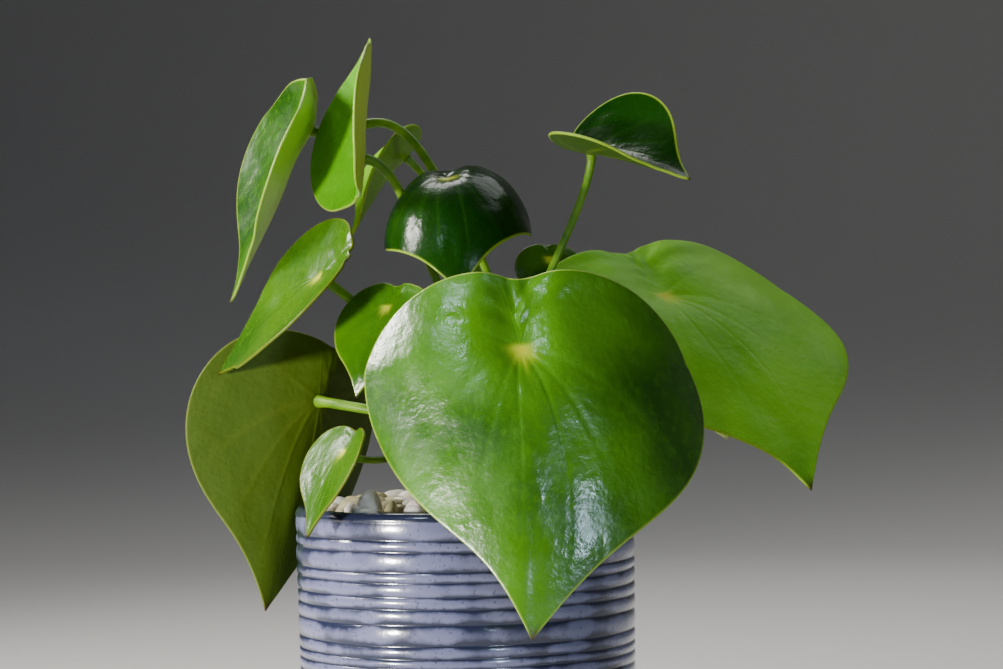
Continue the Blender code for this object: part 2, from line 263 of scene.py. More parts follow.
class NodeSheet:
    """A material's nodes, added one by one from left to right."""

    def __init__(self, name: str) -> None:
        """Start a material with its shader and object coordinates."""
        self.material = bpy.data.materials.new(name)
        self.material.use_nodes = True
        self.tree = self.material.node_tree
        self.shader = self.tree.nodes["Principled BSDF"]
        self.place = self.add("ShaderNodeTexCoord").outputs["Object"]

    def add(self, kind: str, **settings: object) -> bpy.types.Node:
        """Add a node of a kind, with its own settings."""
        node = self.tree.nodes.new(kind)
        for key, value in settings.items():
            setattr(node, key, value)
        return node

    def join(self, source: Socket, target: Socket) -> None:
        """Link an output to an input."""
        self.tree.links.new(source, target)

    def feed(self, source: Socket, label: str) -> None:
        """Link an output to one of the shader's inputs."""
        self.join(source, self.shader.inputs[label])

    def fix(self, settings: dict[str, float | tuple[float, ...]]) -> None:
        """Set inputs of the shader to fixed values."""
        for label, value in settings.items():
            self.shader.inputs[label].default_value = value

    def flesh(self, shine: float, weight: float, tint: Colour) -> None:
        """Set the shine and the share and tint of the light that passes through."""
        self.fix({"Specular IOR Level": shine, "Subsurface Weight": weight})
        self.fix({"Subsurface Radius": tint, "Subsurface Scale": GLOW_DEPTH})

    def value(self, label: str) -> Socket:
        """Read a float attribute of the mesh."""
        return self.add("ShaderNodeAttribute", attribute_name=label).outputs["Fac"]

    def noise(self, layer: Cloud | Relief) -> Socket:
        """A layer's noise, on object coordinates."""
        node = self.add("ShaderNodeTexNoise")
        node.inputs["Scale"].default_value = layer.scale
        node.inputs["Detail"].default_value = layer.detail
        node.inputs["Roughness"].default_value = layer.roughness
        self.join(self.place, node.inputs["Vector"])
        return node.outputs["Fac"]

    def span(
        self, source: Socket, low: float, high: float, start: float = 0.0, end: float = 1.0
    ) -> Socket:
        """Map low to start and high to end, smoothly, and hold beyond them."""
        node = self.add("ShaderNodeMapRange", interpolation_type="SMOOTHSTEP")
        for socket, number in zip(("From Min", "From Max", "To Min", "To Max"), (low, high, start, end)):
            node.inputs[socket].default_value = number
        self.join(source, node.inputs["Value"])
        return node.outputs["Result"]

    def cloud(self, layer: Cloud) -> Socket:
        """A layer of noise, mapped to its range."""
        return self.span(self.noise(layer), layer.low, layer.high, layer.start, layer.end)

    def mix(self, share: Socket, first: Colour | Socket, second: Colour | Socket) -> Socket:
        """Blend two colours by a share."""
        node = self.add("ShaderNodeMix", data_type="RGBA")
        self.join(share, node.inputs["Factor"])
        for socket, colour in ((node.inputs[6], first), (node.inputs[7], second)):
            if isinstance(colour, tuple):
                socket.default_value = (*colour, 1.0)
            else:
                self.join(colour, socket)
        return node.outputs[2]

    def scaled(self, source: Socket, factor: float) -> Socket:
        """A value times a factor."""
        node = self.add("ShaderNodeMath", operation="MULTIPLY", use_clamp=True)
        node.inputs[1].default_value = factor
        self.join(source, node.inputs[0])
        return node.outputs["Value"]

    def relief(self, layer: Relief, under: Socket | None = None) -> Socket:
        """The normal of a layer of bumps, over that of another layer."""
        node = self.add("ShaderNodeBump")
        node.inputs["Distance"].default_value = layer.height
        node.inputs["Strength"].default_value = layer.strength
        self.join(self.noise(layer), node.inputs["Height"])
        if under is not None:
            self.join(under, node.inputs["Normal"])
        return node.outputs["Normal"]


@dataclass(frozen=True)
class LeafFinish:
    """The skin of a blade: glossy green above, duller and pale below, light at margin and heart."""

    name: str
    deep: Colour
    fresh: Colour
    vein: Colour
    under: Colour
    margin: Colour = (0.20, 0.30, 0.020)
    heart: Colour = (0.42, 0.50, 0.015)
    core: Colour = (0.50, 0.30, 0.010)
    dry: Colour = (0.030, 0.012, 0.002)
    clouds: Cloud = Cloud(24.0, 2.0, 0.25, 0.75)
    flecks: Cloud = Cloud(420.0, 2.0, 0.45, 0.75, 0.0, 0.3)
    fine: Relief = Relief(600.0, 2.0, 0.00022, 0.4)
    broad: Relief = Relief(200.0, 3.0, 0.0007, 0.36)
    vein_share: float = 0.38
    rib_share: float = 0.35
    gloss: float = 0.24
    wax: tuple[float, float] = (-0.05, 0.07)
    dull: float = 0.45
    shine: float = 0.45
    flesh: float = 0.10
    glow: Colour = (0.5, 1.0, 0.1)

    def colours(self, sheet: NodeSheet, below: Socket) -> Socket:
        """Greens by slow and fine noise, then veins, underside, margin, heart and dry tip."""
        colour = sheet.mix(sheet.cloud(self.clouds), self.deep, self.fresh)
        colour = sheet.mix(sheet.cloud(self.flecks), colour, self.fresh)
        vein = sheet.value("vein")
        colour = sheet.mix(sheet.scaled(vein, self.vein_share), colour, self.vein)
        rib = sheet.mix(sheet.scaled(vein, self.rib_share), self.under, self.margin)
        colour = sheet.mix(below, colour, rib)
        marks = {"edge": self.margin, "heart": self.heart, "core": self.core, "tip": self.dry}
        for label, mark in marks.items():
            colour = sheet.mix(sheet.value(label), colour, mark)
        return colour

    def build(self) -> bpy.types.Material:
        """Join the colours, a waxy roughness and a finely crinkled skin to the shader."""
        sheet = NodeSheet(self.name)
        below = sheet.value("side")
        sheet.feed(self.colours(sheet, below), "Base Color")
        low, high = (self.gloss + shift for shift in self.wax)
        wax = Cloud(90.0, 3.0, 0.3, 0.7, low, high)
        rough = sheet.add("ShaderNodeMix", data_type="FLOAT")
        sheet.join(below, rough.inputs["Factor"])
        sheet.join(sheet.cloud(wax), rough.inputs[2])
        rough.inputs[3].default_value = self.dull
        sheet.feed(rough.outputs[0], "Roughness")
        sheet.feed(sheet.relief(self.broad, sheet.relief(self.fine)), "Normal")
        sheet.flesh(self.shine, self.flesh, self.glow)
        return sheet.material


@dataclass(frozen=True)
class StalkFinish:
    """Petiole and stem skin: two pale greens, browner and rougher by its base."""

    name: str = "Petiole skin"
    pale: Colour = (0.12, 0.24, 0.004)
    green: Colour = (0.06, 0.15, 0.002)
    bark: Colour = (0.16, 0.13, 0.03)
    streaks: Cloud = Cloud(160.0, 3.0, 0.35, 0.65)
    grain: Relief = Relief(1400.0, 2.0, 0.00015, 0.4)

    def build(self) -> bpy.types.Material:
        """Mix the greens by slow noise and turn them brown where the mesh says it is old."""
        sheet = NodeSheet(self.name)
        age = sheet.value("age")
        colour = sheet.mix(sheet.cloud(self.streaks), self.pale, self.green)
        sheet.feed(sheet.mix(age, colour, self.bark), "Base Color")
        sheet.feed(sheet.span(age, 0.0, 1.0, 0.45, 0.65), "Roughness")
        sheet.feed(sheet.relief(self.grain), "Normal")
        sheet.flesh(0.25, 0.15, (0.6, 1.0, 0.2))
        return sheet.material


@dataclass(frozen=True)
class GlazeFinish:
    """Blue-grey glaze, thin and light on the ridges and pooled dark in the grooves."""

    name: str = "Blue grey glaze"
    pooled: Colour = (0.012, 0.015, 0.036)
    thin: Colour = (0.120, 0.124, 0.215)
    clay: Colour = (0.42, 0.36, 0.29)
    thinning: tuple[float, float] = (0.46, 1.02)
    breaks: Cloud = Cloud(75.0, 4.0, 0.3, 0.7, -0.34, 0.30)
    specks: Cloud = Cloud(900.0, 1.0, 0.62, 0.72, 0.0, 0.5)
    skin: Relief = Relief(330.0, 3.0, 0.0003, 0.35)

    def build(self) -> bpy.types.Material:
        """Mix the two glazes by the wall's height between its grooves, broken up by noise."""
        sheet = NodeSheet(self.name)
        broken = sheet.add("ShaderNodeMath", operation="ADD")
        sheet.join(sheet.value("ridge"), broken.inputs[0])
        sheet.join(sheet.cloud(self.breaks), broken.inputs[1])
        share = sheet.span(broken.outputs["Value"], *self.thinning)
        colour = sheet.mix(share, self.pooled, self.thin)
        colour = sheet.mix(sheet.cloud(self.specks), colour, self.pooled)
        bare = sheet.value("bare")
        sheet.feed(sheet.mix(bare, colour, self.clay), "Base Color")
        sheet.feed(sheet.span(bare, 0.0, 1.0, 0.2, 0.85), "Roughness")
        sheet.feed(sheet.relief(self.skin), "Normal")
        sheet.fix({"Coat Weight": 0.5, "Coat Roughness": 0.08})
        return sheet.material


@dataclass(frozen=True)
class StoneFinish:
    """Worn pebbles: each keeps its own colour, with fine grain and a dull skin."""

    name: str = "Pebbles"
    dust: Colour = (0.30, 0.25, 0.18)
    mottle: Cloud = Cloud(420.0, 4.0, 0.35, 0.7, 0.0, 0.45)
    grain: Relief = Relief(1500.0, 4.0, 0.00025, 0.6)

    def build(self) -> bpy.types.Material:
        """Pick a colour from the mesh's stone value, mottle it and roughen it."""
        sheet = NodeSheet(self.name)
        ramp = sheet.add("ShaderNodeValToRGB")
        ramp.color_ramp.interpolation = "CONSTANT"
        stops = ramp.color_ramp.elements
        kinds = list(Stone)
        for index, kind in enumerate(kinds):
            stop = stops[0] if index == 0 else stops.new(index / len(kinds))
            stop.color = (*kind.value, 1.0)
        stops.remove(stops[-1])
        sheet.join(sheet.value("stone"), ramp.inputs["Fac"])
        colour = sheet.mix(sheet.cloud(self.mottle), ramp.outputs["Color"], self.dust)
        sheet.feed(colour, "Base Color")
        sheet.feed(sheet.relief(self.grain), "Normal")
        sheet.fix({"Roughness": 0.55})
        return sheet.material


@dataclass(frozen=True)
class SoilFinish:
    """Dark, crumbly potting soil."""

    name: str = "Potting soil"
    dark: Colour = (0.012, 0.009, 0.007)
    brown: Colour = (0.060, 0.040, 0.026)
    tones: Cloud = Cloud(700.0, 6.0, 0.4, 0.7, roughness=0.65)
    crumbs: Relief = Relief(700.0, 6.0, 0.0012, 0.9, 0.65)

    def build(self) -> bpy.types.Material:
        """Mix two browns by the same noise that lifts the crumbs."""
        sheet = NodeSheet(self.name)
        sheet.feed(sheet.mix(sheet.cloud(self.tones), self.dark, self.brown), "Base Color")
        sheet.feed(sheet.relief(self.crumbs), "Normal")
        sheet.fix({"Roughness": 0.9})
        return sheet.material


GREENS = {
    StageAndLight.GROWN: LeafFinish(
        name="Grown leaf",
        deep=(0.007, 0.042, 0.0002),
        fresh=(0.052, 0.170, 0.0005),
        vein=(0.040, 0.140, 0.003),
        # Paler underside, partly its own colour and partly painted glow of light coming through the
        # blade
        under=(0.260, 0.360, 0.010),
        shine=0.6,
    ),
    StageAndLight.YOUNG: LeafFinish(
        name="Young leaf",
        deep=(0.024, 0.140, 0.0004),
        fresh=(0.085, 0.300, 0.0008),
        vein=(0.110, 0.300, 0.010),
        # Paler underside, partly its own colour and partly painted glow of light coming through the
        # blade
        under=(0.340, 0.450, 0.016),
    ),
    # Near-black greens for leaves e and f: painted shade and painted dark reflection, darker than their
    # own green
    StageAndLight.SHADED_DOME: LeafFinish(
        name="Domed leaf in painted shade",
        deep=(0.0012, 0.014, 0.0002),
        fresh=(0.0040, 0.030, 0.0002),
        vein=(0.012, 0.060, 0.002),
        under=(0.024, 0.060, 0.001),
        gloss=0.22,
        dull=0.7,
        shine=0.12,
    ),
    # Pale bright greens for leaf b: painted light and painted milky sheen; leaf k shows mostly its
    # underside, in its own yellow-green
    StageAndLight.SOFT: LeafFinish(
        name="Soft leaf in painted light",
        deep=(0.090, 0.270, 0.0010),
        fresh=(0.160, 0.400, 0.0020),
        vein=(0.150, 0.340, 0.006),
        under=(0.090, 0.200, 0.003),
        gloss=0.42,
        shine=0.08,
    ),
    StageAndLight.SHADED: LeafFinish(
        name="Shaded leaf",
        deep=(0.010, 0.050, 0.0004),
        fresh=(0.044, 0.120, 0.0010),
        vein=(0.060, 0.130, 0.005),
        under=(0.040, 0.074, 0.0001),
        margin=(0.090, 0.115, 0.003),
        gloss=0.28,
        dull=0.6,
        shine=0.2,
    ),
}


# Plant


@dataclass(frozen=True)
class Leaf:
    """One leaf, with the same measures as its solid: place, aim, bend and petiole."""

    name: str
    at: Point
    span: float
    heading: float
    rise: float
    roll: float
    fold: float
    curl: float
    arch: float
    back: float
    wide: float
    uneven: float
    sway: float
    dimple: float
    point: float
    node: float
    bearing: float
    lift: float
    reach: float
    stage_and_light: StageAndLight

    def axes(self) -> np.ndarray:
        """Columns for the blade's own axes: across, toward the tip, and up from its upper face."""
        roll = math.radians(self.roll)
        tip = way_to(self.heading, self.rise)
        up = unit(np.array((0.0, 0.0, 1.0)) - tip * tip[2])
        across = np.cross(tip, up)
        rolled_up = up * math.cos(roll) + across * math.sin(roll)
        rolled_across = across * math.cos(roll) - up * math.sin(roll)
        return np.column_stack((rolled_across, tip, rolled_up))


# Each leaf, with its measures in the order of the fields above. They are given here, and the
# solids have the same ones
LEAVES = (
    Leaf("a", (16.5, -49, 131.5), 77.5, -87, -69, 2, 0, -42, 20, 0,
         1.12, -0.05, -0.06, 3, 1, 117, -87, 30, 0.5, StageAndLight.GROWN),
    Leaf("b", (58.8, 15.5, 145.8), 79, -51, -40, 8, 0, -16, 10, 5,
         1.06, 0, -0.07, 2.5, 1, 117, 15, 10, 0.45, StageAndLight.SOFT),
    Leaf("c", (-43.5, 18, 196.3), 55, -178, -65.5, -12, 15, 8, 0, -58,
         1, 0, 0, 1, 1, 124.5, 150, 72, 1.2, StageAndLight.GROWN),
    Leaf("d", (-27.2, -9.5, 185.8), 47, 79, 67, -61, 18, 8, 2, 0,
         0.9, 0, 0, 1, 0.4, 120, 175, 50, 0.4, StageAndLight.YOUNG),
    Leaf("e", (-2.5, -17.5, 179), 39, -90, -24, 8, 0, -63, 76, 20,
         1.36, -0.05, 0, 1.5, 1, 125, -100, 70, 0.4, StageAndLight.SHADED_DOME),
    Leaf("f", (38, -4.5, 187), 33, -35, -13, 17, 34, 5, 10, 0,
         1.05, -0.12, 0, 1, 1, 121.5, -74, 42, 0.36, StageAndLight.SHADED_DOME),
    Leaf("g", (-39, -14.5, 152.6), 54, 136, -28, -53, 15, 0, 8, 0,
         0.72, -0.16, 0, 1, 1, 114, 172, 35, 0.4, StageAndLight.SHADED),
    Leaf("h", (-43, 27, 117), 63, -158, -72, 80, 28, 0, 10, 5,
         0.87, -0.115, 0, 1, 1, 108, 160, 10, 0.4, StageAndLight.SHADED),
    Leaf("i", (-32, -34.5, 104.5), 25, -155, -60, -5, 10, 0, 10, 5,
         1, 0, 0, 0.8, 1, 104, -135, 0, 0.4, StageAndLight.SHADED),
    Leaf("j", (-20, -24, 143.5), 27.3, -130, -58, -5, 0, -10, 10, 5,
         1, 0, 0, 0.8, 1, 110.5, -135, 40, 0.4, StageAndLight.GROWN),
    Leaf("k", (-16.7, 41, 189.3), 29.2, -160, -50, 10, 24, 0, 10, 5,
         1, 0, 0, 0.8, 1, 120, 115, 55, 0.4, StageAndLight.SOFT),
    Leaf("l", (26, 27, 157.5), 17, -80, -60, 0, 0, -20, 20, 10,
         1.05, 0, 0, 0.6, 1, 120, 70, 25, 0.4, StageAndLight.SHADED),
    Leaf("m", (44.5, 46.5, 133), 58, 40, -25, 0, 0, -30, 20, 10,
         1.05, 0, 0, 2, 1, 111, 55, 15, 0.4, StageAndLight.GROWN),
    Leaf("n", (4, 47, 125), 50, 95, -50, 0, 0, -28, 20, 10,
         1.05, 0, 0, 2, 1, 107, 105, 20, 0.4, StageAndLight.GROWN),
)


def outline_radius(theta: np.ndarray, point: float) -> np.ndarray:
    """Teardrop outline about the petiole, as a share of the span.

    A round lobe from cosines, a pointed tip that fades with the turn from it, and a
    shallow notch behind the petiole.
    """
    lobe = LOBE[0] + LOBE[1] * np.cos(theta) + LOBE[2] * np.cos(2 * theta)
    tip = TIP * point * np.exp(-np.abs(theta) / TIP_FADE)
    notch = NOTCH * bell(math.pi - np.abs(theta), NOTCH_WIDTH)
    return lobe + tip - notch


def bent(
    distance: np.ndarray, slope: Callable[[np.ndarray], np.ndarray], steps: int = 16
) -> tuple[np.ndarray, np.ndarray]:
    """Travel along and up for a line that climbs by a given slope.

    Args:
        distance: Length of line from the start, one for each point.
        slope: Angle of the line at a distance, in radians.
        steps: Number of short steps that are summed.

    Returns:
        The level travel and the climb: the distance times the mean cosine and sine.
    """
    shares = (np.arange(steps) + 0.5) / steps
    angles = slope(distance[..., None] * shares)
    return distance * np.cos(angles).mean(axis=-1), distance * np.sin(angles).mean(axis=-1)


@dataclass
class Blade:
    """One thick teardrop blade, worked out on rings about its petiole."""

    leaf: Leaf
    rings: int = 54
    columns: int = 216
    margin_rows: int = 5
    margin_share: float = 0.62
    dimple_width: float = 0.1
    fold_width: float = 0.1
    half_width: float = 0.58
    tip_warp: float = 0.35
    back_droop: float = 3.0
    vein_depth: float = 0.16
    vein_width: float = 0.6
    vein_reach: float = 0.6
    vein_start: tuple[float, float] = (0.02, 0.1)
    vein_fade: tuple[float, float] = (0.72, 0.96)
    rib_share: float = 1.5
    margin_reach: float = 0.9
    lobe_reach: float = 0.62
    grown_span: float = 80.0
    edge_width: float = 0.7
    tip_width: float = 0.05
    waves: tuple[tuple[float, float], ...] = ((0.85, 0.55), (0.33, 0.16))
    veins: tuple[tuple[float, float, float], ...] = (
        (50, 14, 0.8),
        (63, 40, 0.7),
        (84, 62, 0.6),
        (112, 100, 0.35),
        (150, 150, 0.25),
    )

    def vein_closeness(self, share: np.ndarray, turn: np.ndarray) -> np.ndarray:
        """How close a point is to a vein, from 0 to 1.

        Each vein leaves the petiole at its first angle and eases to its second by the
        margin. Closeness is a bell over the distance across it, times the vein's own
        strength, and the strongest counts.
        """
        best = np.zeros_like(share)
        reach = share * self.leaf.span * self.vein_reach
        for first, last, strength in self.veins:
            line = np.radians(first + (last - first) * np.sqrt(share))
            width = self.vein_width * (1.25 - 0.7 * share)
            best = np.maximum(best, bell(reach * (np.abs(turn) - line), width) * strength)
        return best * (1 - smooth_step(share, *self.vein_fade)) * smooth_step(share, *self.vein_start)

    def upper_face(self, share: np.ndarray, turn: np.ndarray) -> np.ndarray:
        """Places on the upper face, in millimetres about the petiole, on the blade's axes.

        The disc becomes the teardrop. Its halves rise from the midrib by the fold and curl,
        the midrib droops by the arch, the lobes by the back, and it dips over the petiole.
        """
        leaf = self.leaf
        theta = turn - self.tip_warp * np.sin(2 * turn)
        reach = share * outline_radius(theta, leaf.point)
        along = reach * np.cos(theta)
        across = reach * np.sin(theta) * leaf.wide
        across = across * (1 + leaf.uneven * np.sign(across))
        angles = (leaf.fold, leaf.curl, leaf.arch, leaf.back)
        fold, curl, arch, back = (math.radians(angle) for angle in angles)
        side, lift = bent(
            np.abs(across),
            lambda s: fold * (1 - np.exp(-s / self.fold_width)) + curl * s / self.half_width,
        )
        spine, drop = bent(along, lambda s: np.where(s > 0, arch * s, back * s * self.back_droop))
        slope = np.where(along > 0, arch * along, back * along * self.back_droop)
        hollow = np.exp(-(across**2 + np.maximum(along, 0) ** 2) / self.dimple_width**2)
        raised = lift * leaf.span + leaf.dimple * (1 - hollow)
        bow = leaf.sway * np.sin(math.pi * np.clip(along, 0, 1))
        return np.stack(
            (
                (np.sign(across) * side + bow) * leaf.span,
                spine * leaf.span + raised * np.sin(slope),
                -drop * leaf.span + raised * np.cos(slope),
            ),
            axis=-1,
        )

    def face_normals(self, places: np.ndarray) -> np.ndarray:
        """Upward normals of a ring grid: the cross of its steps round and outward."""
        outward = np.gradient(places, axis=0)
        around = (np.roll(places, -1, axis=1) - np.roll(places, 1, axis=1)) / 2
        return unit(np.cross(around, outward))

    def rounded_margin(
        self, upper: np.ndarray, under: np.ndarray, normals: np.ndarray, half: np.ndarray
    ) -> np.ndarray:
        """Rows round the margin, on a half circle from the upper skin's last ring to the lower's.

        Args:
            upper: Rings of the upper skin.
            under: Rings of the lower skin.
            normals: Upward normals at the last ring.
            half: Half the thickness at the last ring.

        Returns:
            Array of margin rows, columns and 3.
        """
        middle = (upper[-1] + under[-1]) / 2
        outward = unit(upper[-1] - upper[-2])
        bends = np.linspace(0, math.pi, self.margin_rows + 2)[1:-1, None]
        rise = half[None] * np.cos(bends)
        reach = half[None] * np.sin(bends) * self.margin_reach
        return middle[None] + normals[None] * rise[..., None] + outward[None] * reach[..., None]

    def paint(self, share: np.ndarray, turn: np.ndarray, vein: np.ndarray) -> dict[str, np.ndarray]:
        """Values for the finish, each from 0 to 1.

        Heart and core are bells over the distance from the petiole, the heart's a little
        star-shaped, and show above only. The edge and the tip rise at the margin.
        """

        def round_margin(rows: np.ndarray, edge: float | np.ndarray) -> np.ndarray:
            middle = np.full((self.margin_rows, self.columns), edge)
            return np.concatenate((rows, middle, rows[::-1])).ravel()

        shares, turns = round_margin(share, 1.0), round_margin(turn, turn[0])
        side = np.repeat((0.0, 0.5, 1.0), (share.size, self.margin_rows * self.columns, share.size))
        above = side < 0.5
        far = shares * self.leaf.span * self.lobe_reach
        bulk = self.leaf.span / self.grown_span
        star = 1 + 0.1 * np.cos(7 * turns + 0.6)
        heart = np.exp(-((far / ((1.2 + 1.9 * bulk) * star)) ** 2.5)) * 0.85
        core = bell(far, 0.3 + 0.9 * bulk) * 0.4
        return {
            "heart": heart * above,
            "core": core * above,
            "vein": round_margin(vein, 0.0),
            "side": side,
            "edge": smooth_step(shares, 1 - self.edge_width / self.leaf.span, 1.0) * 0.8,
            "tip": bell(turns, self.tip_width) * smooth_step(shares, 0.95, 1.0),
        }

    def build(self, finish: bpy.types.Material) -> bpy.types.Object:
        """Make the blade: upper rings, a rounded margin and under rings, closed at both poles."""
        leaf = self.leaf
        seed = sum(ord(letter) for letter in leaf.name) * 7
        even = (np.arange(self.rings) + 1) / self.rings
        shares = 0.55 * even + 0.45 * (0.5 - 0.5 * np.cos(math.pi * even))
        turns = round_turns(self.columns) - math.pi
        share, turn = np.meshgrid(shares, turns, indexing="ij")
        top = self.upper_face(share, turn)
        normals = self.face_normals(top)
        bulk = leaf.span / self.grown_span
        flat = np.stack((share * np.cos(turn), share * np.sin(turn)), axis=-1)
        swing = np.zeros_like(share)
        for index, (length, height) in enumerate(self.waves):
            swing += ripple(flat, length, seed + index) * height
        top = top + normals * (swing * bulk * smooth_step(share, 0.05, 0.5))[..., None]
        vein = self.vein_closeness(share, turn)
        depth = vein * self.vein_depth * bulk
        thick = BLADE_THICKNESS * (1 - (1 - self.margin_share) * share**3)
        upper = top - normals * depth[..., None]
        under = top - normals * (thick + depth * self.rib_share)[..., None]
        margin = self.rounded_margin(upper, under, normals[-1], thick[-1] / 2)
        places = np.concatenate((upper, margin, under[::-1])) @ leaf.axes().T + np.array(leaf.at)
        values = self.paint(share, turn, vein)
        padded = {label: np.append(numbers, numbers[[0, -1]]) for label, numbers in values.items()}
        return make_piece(f"blade_{leaf.name}", closed_grid(places), finish, padded)


@dataclass
class Tube:
    """A round tube along a route, with a rounded cap at each end."""

    route: np.ndarray
    radii: np.ndarray
    sides: int = 20
    cap_rows: int = 4
    cap_length: float = 0.6
    least_radius: float = 0.02

    def skin(self) -> Mesh:
        """A closed skin of rings along the route.

        Each ring lies square to the route. Its two axes are the cross of the route's way with
        one fixed side way, and the cross of those two, so it never twists.
        """
        ways = unit(np.gradient(self.route, axis=0))
        plane = np.cross(self.route[-1] - self.route[0], ways[0])
        if np.linalg.norm(plane) < 1e-3:
            plane = np.cross(ways[0], np.array((0.31, 0.87, 0.38)))
        across = unit(np.cross(ways, np.cross(ways, unit(plane))))
        beside = np.cross(ways, across)
        bends = np.linspace(0, math.pi / 2, self.cap_rows + 1)[1:]
        count, start, end = len(self.route), self.radii[0], self.radii[-1]
        reach = np.concatenate((-np.sin(bends[::-1]) * start, np.zeros(count), np.sin(bends) * end))
        radii = np.concatenate((np.cos(bends[::-1]) * start, self.radii, np.cos(bends) * end))
        rows = np.clip(np.arange(len(radii)) - self.cap_rows, 0, count - 1)
        centres = self.route[rows] + ways[rows] * reach[:, None] * self.cap_length
        turns = round_turns(self.sides)[None, :, None]
        ring = across[rows][:, None] * np.cos(turns) + beside[rows][:, None] * np.sin(turns)
        sizes = np.maximum(radii, self.least_radius)[:, None, None]
        return closed_grid(centres[:, None] + ring * sizes)


@dataclass
class Foliage:
    """Stem, petioles and blades."""

    stem_route: tuple[Point, ...] = (
        (0, 0, 61.8),
        (0, 0, 84),
        (1.2, 0.5, 93),
        (7.5, 2.8, 108),
        (14, 4, 126),
    )
    stem_top_radius: float = 3.4
    first_scar: float = 4.0
    scar_pitch: float = 5.2
    scar_width: float = 0.45
    scar_height: float = 0.25
    stub_radius: float = 2.3
    stub_reach: float = 6.6
    petiole_radius: float = 0.75
    petiole_thickening: float = 0.0125
    petiole_room: float = 0.5
    petiole_pull: float = 3.0
    petiole_arrival: float = 0.6
    foot_swell: tuple[float, float] = (0.22, 5.0)
    head_swell: tuple[float, float] = (0.3, 1.6)
    bark_reach: float = 8.0
    seat: float = 0.3
    route_points: int = 64

    def stem_at(self, height: float | np.ndarray) -> np.ndarray:
        """The stem's centre line at heights, by straight runs between its points."""
        points = np.array(self.stem_route, float)
        runs = [np.interp(height, points[:, 2], points[:, axis]) for axis in range(3)]
        return np.stack(runs, axis=-1)

    def start(self, leaf: Leaf) -> tuple[np.ndarray, np.ndarray]:
        """Where a petiole leaves the stem's centre line, and its way."""
        return self.stem_at(leaf.node), way_to(leaf.bearing, leaf.lift)

    def thickness(self, leaf: Leaf) -> float:
        """Radius of a petiole, which grows with its leaf."""
        return self.petiole_radius + self.petiole_thickening * leaf.span

    def route(self, leaf: Leaf) -> np.ndarray:
        """The petiole's line: a cubic that leaves the stub and meets the blade square on.

        It starts and ends as the solid's does, and then runs on into the stub and the blade.
        """
        root, way = self.start(leaf)
        begin = root + way * (self.stub_reach + TOUCH_GAP)
        normal = leaf.axes()[:, 2]
        end = np.array(leaf.at) - normal * (BLADE_THICKNESS + self.petiole_room)
        chord = float(np.linalg.norm(end - begin))
        leave = way * chord * leaf.reach * self.petiole_pull
        arrive = normal * chord * self.petiole_arrival
        t = np.linspace(0, 1, self.route_points)[:, None]
        line = (
            begin * (1 + 2 * t) * (1 - t) ** 2
            + leave * t * (1 - t) ** 2
            + end * t * t * (3 - 2 * t)
            + arrive * t * t * (t - 1)
        )
        inside = begin - way * np.array((3.0, 1.6, 0.6))[:, None]
        seated = end + normal * np.array((self.seat / 2, self.seat))[:, None]
        return np.vstack((inside, line, seated))

    def make_petiole(self, leaf: Leaf, finish: bpy.types.Material) -> None:
        """One petiole, a little thicker where it leaves the stem and where it meets the blade."""
        line = self.route(leaf)
        steps = np.linalg.norm(np.diff(line, axis=0), axis=1)
        run = np.concatenate(([0.0], np.cumsum(steps)))
        (foot, foot_fade), (head, head_fade) = self.foot_swell, self.head_swell
        swell = 1 + foot * np.exp(-run / foot_fade) + head * np.exp((run - run[-1]) / head_fade)
        slim = 1 - 0.08 * np.sin(math.pi * run / run[-1])
        radii = self.thickness(leaf) * swell * slim * (1 + 0.015 * np.sin(run * 0.9))
        mesh = Tube(line, radii).skin()
        age = 0.55 * bell(np.linalg.norm(mesh[0] - line[0], axis=1), self.bark_reach)
        piece = make_piece(f"stalk_{leaf.name}", mesh, finish, {"age": age})
        mount_piece(piece, f"petiole_{leaf.name}")

    def make_stem(self, finish: bpy.types.Material) -> None:
        """The stem, ringed by leaf scars, with a swelling where each petiole leaves it."""
        heights = np.linspace(self.stem_route[0][2], self.stem_route[-1][2], 90)
        kernel = np.hanning(9) / np.hanning(9).sum()
        padded = np.pad(self.stem_at(heights), ((4, 4), (0, 0)), "edge")
        line = np.column_stack([np.convolve(run, kernel, "valid") for run in padded.T])
        radii = np.linspace(STEM_RADIUS, self.stem_top_radius, len(line))
        pitch = self.scar_pitch
        scars = bell((heights - self.first_scar) % pitch - pitch / 2, self.scar_width)
        parts = [Tube(line, radii + self.scar_height * scars, sides=36).skin()]
        for leaf in LEAVES:
            root, way = self.start(leaf)
            reach = np.linspace(0.0, self.stub_reach, 16)
            flare = np.linspace(self.stub_radius, self.thickness(leaf) * 1.2, 16)
            flare = flare + 0.7 * bell(reach - 3.4, 1.2)
            parts.append(Tube(root + way * reach[:, None], flare, sides=18).skin())
        mesh = joined(parts)
        age = 1 - smooth_step(mesh[0][:, 2], 92.0, 122.0) * 0.65
        piece = make_piece("crown_stem", mesh, finish, {"age": age})
        mount_piece(piece, "stem")

    def build(self) -> None:
        """Make every piece of the plant."""
        stalk = StalkFinish().build()
        greens = {stage_and_light: finish.build() for stage_and_light, finish in GREENS.items()}
        self.make_stem(stalk)
        for leaf in LEAVES:
            self.make_petiole(leaf, stalk)
            blade = Blade(leaf).build(greens[leaf.stage_and_light])
            mount_piece(blade, f"leaf_{leaf.name}")


# Pot and its filling


